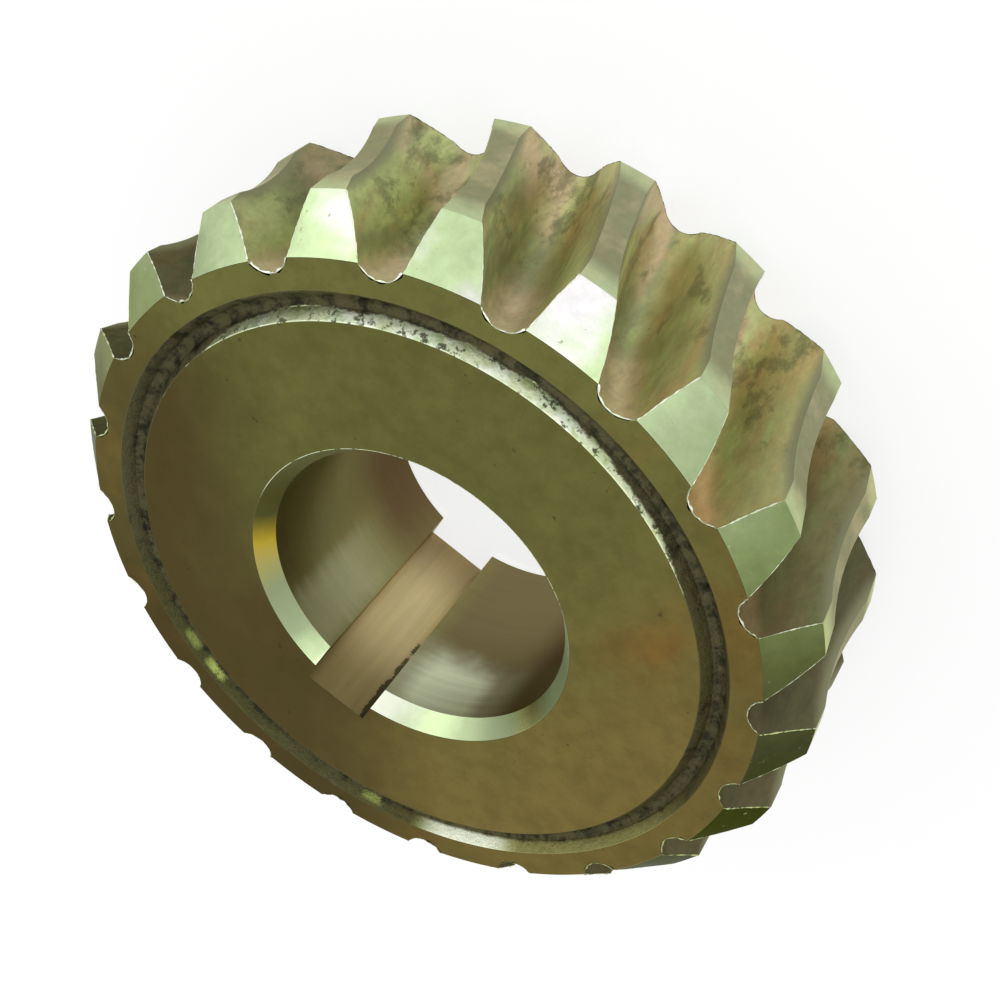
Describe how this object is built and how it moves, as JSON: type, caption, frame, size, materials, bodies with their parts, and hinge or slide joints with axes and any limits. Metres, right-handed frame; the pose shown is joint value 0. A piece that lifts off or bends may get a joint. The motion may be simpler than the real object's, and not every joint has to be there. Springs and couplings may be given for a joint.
{
  "type": "worm wheel",
  "caption": "Bronze worm wheel: a turned ring with helical, slightly throated teeth, chamfered tooth ends, a groove turned in each face and a plain bore with a keyway.",
  "frame": {"origin": "on the bore's axis, halfway across the width", "axes": "+Z along the bore's axis, out of the pictured face; +X from the axis towards the keyway"},
  "size_m": [0.0884, 0.0884, 0.0296],
  "materials": {
    "bronze": "worn machined bronze, dulled to olive brown on the turned faces and bright on the tooth ends"
  },
  "bodies": {
    "root": {"worm_wheel": "bronze"}
  },
  "joints": []
}
